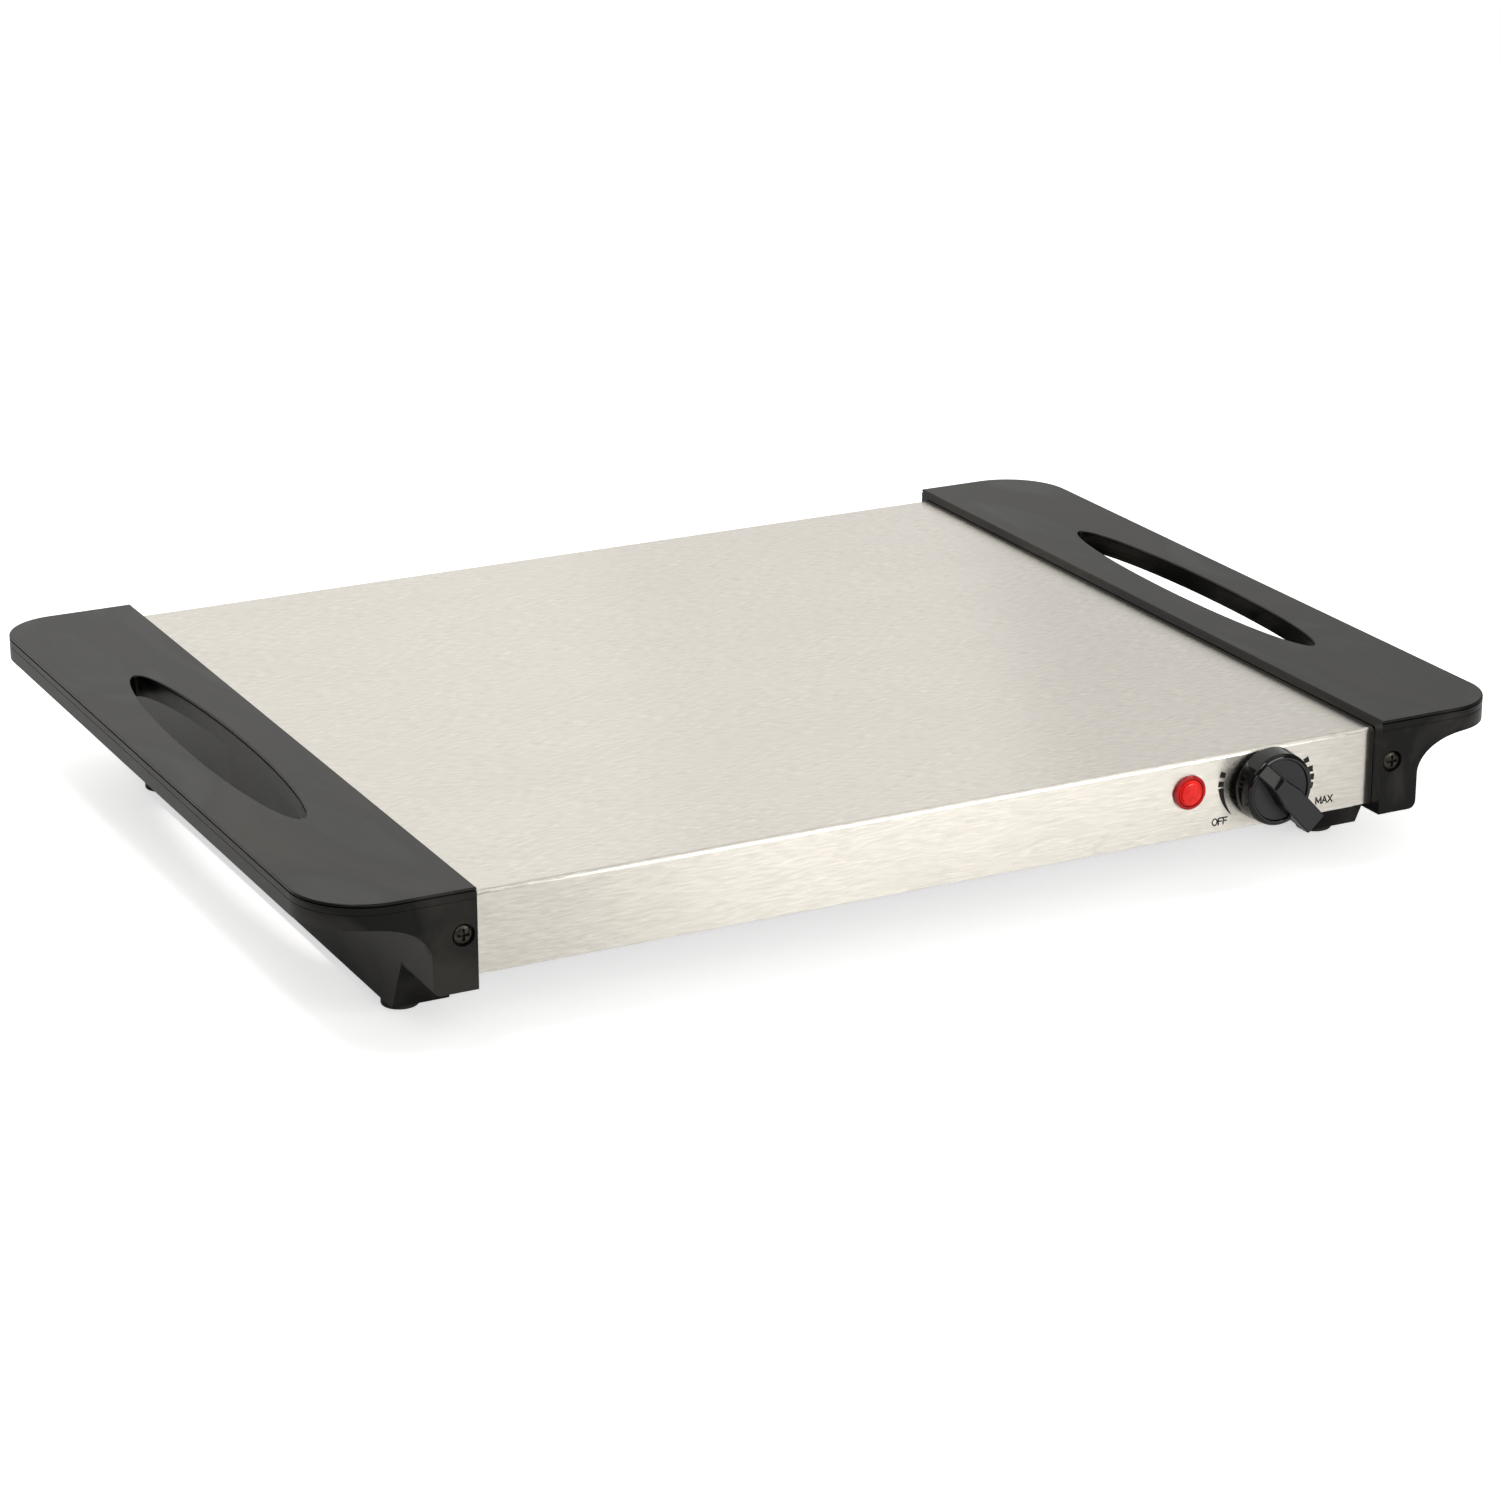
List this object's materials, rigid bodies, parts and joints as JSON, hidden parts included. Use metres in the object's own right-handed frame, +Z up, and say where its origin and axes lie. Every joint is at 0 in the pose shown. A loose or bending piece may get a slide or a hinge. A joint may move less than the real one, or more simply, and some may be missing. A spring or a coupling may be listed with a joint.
{
  "type": "electric food warmer tray",
  "caption": "Flat electric warming tray with a brushed steel heated top, black moulded end handles, a thermostat knob and a red pilot lamp.",
  "frame": {"origin": "on the table, at the middle of the bounding box", "axes": "+X along the tray to the right as seen from its controls, +Y from the control side to the back, +Z up"},
  "size_m": [0.56, 0.4208, 0.0703],
  "materials": {
    "brushed_steel": "brushed along the tray's length, satin",
    "zinc_steel": "zinc-plated sheet, dull",
    "aluminium": "plain rolled",
    "element_steel": "heat-darkened sheath",
    "black_moulding": "moulded, satin black",
    "gloss_black": "polished black",
    "rubber": "matt black",
    "mineral_wool": "pressed mineral fibre",
    "pale_plastic": "off-white, matt",
    "phenolic": "dark brown moulding",
    "lamp_red": "translucent red, polished",
    "lamp_glow": "translucent red, brighter in the middle",
    "screw_steel": "plated, bright",
    "brown_lead": "insulated lead",
    "blue_lead": "insulated lead",
    "green_lead": "insulated lead",
    "white_lead": "insulated lead"
  },
  "bodies": {
    "tray": {"base_plate": "zinc_steel", "base_screw_1": "screw_steel", "base_screw_2": "screw_steel", "base_screw_3": "screw_steel", "base_screw_4": "screw_steel", "base_screw_5": "screw_steel", "base_screw_6": "screw_steel", "cord_gland": "black_moulding", "earth_lead": "green_lead", "earth_stud": "screw_steel", "element_lead": "white_lead", "element_strap_1": "zinc_steel", "element_strap_2": "zinc_steel", "element_strap_3": "zinc_steel", "foot_back_left": "rubber", "foot_back_right": "rubber", "foot_front_left": "rubber", "foot_front_right": "rubber", "foot_screw_back_left": "screw_steel", "foot_screw_back_right": "screw_steel", "foot_screw_front_left": "screw_steel", "foot_screw_front_right": "screw_steel", "fuse_clip": "zinc_steel", "fuse_lead": "white_lead", "gland_nut": "black_moulding", "handle_left": "black_moulding", "handle_right": "black_moulding", "handle_screw_back_left": "screw_steel", "handle_screw_back_right": "screw_steel", "handle_screw_front_left": "screw_steel", "handle_screw_front_right": "screw_steel", "heating_element": "element_steel", "insulation_pad": "mineral_wool", "lamp_bezel": "lamp_red", "lamp_body": "pale_plastic", "lamp_lead": "white_lead", "lamp_lens": "lamp_glow", "lamp_retainer": "zinc_steel", "live_lead": "brown_lead", "neutral_lead": "blue_lead", "pad_rail_left": "zinc_steel", "pad_rail_right": "zinc_steel", "reflector_tray": "aluminium", "spreader_plate": "aluminium", "terminal_block": "pale_plastic", "terminal_screw": "screw_steel", "thermal_fuse": "aluminium", "thermostat_body": "phenolic", "thermostat_bracket": "zinc_steel", "thermostat_screw_left": "screw_steel", "thermostat_screw_right": "screw_steel", "tray_shell": "brushed_steel"},
    "knob": {"control_knob": "gloss_black", "thermostat_shaft": "zinc_steel"}
  },
  "joints": [
    {"name": "knob_turn", "type": "hinge", "parent": "tray", "child": "knob", "pos_m": [0.1578, -0.1916, 0.05], "axis": [0, -1, 0], "range_deg": [0, 270]}
  ]
}
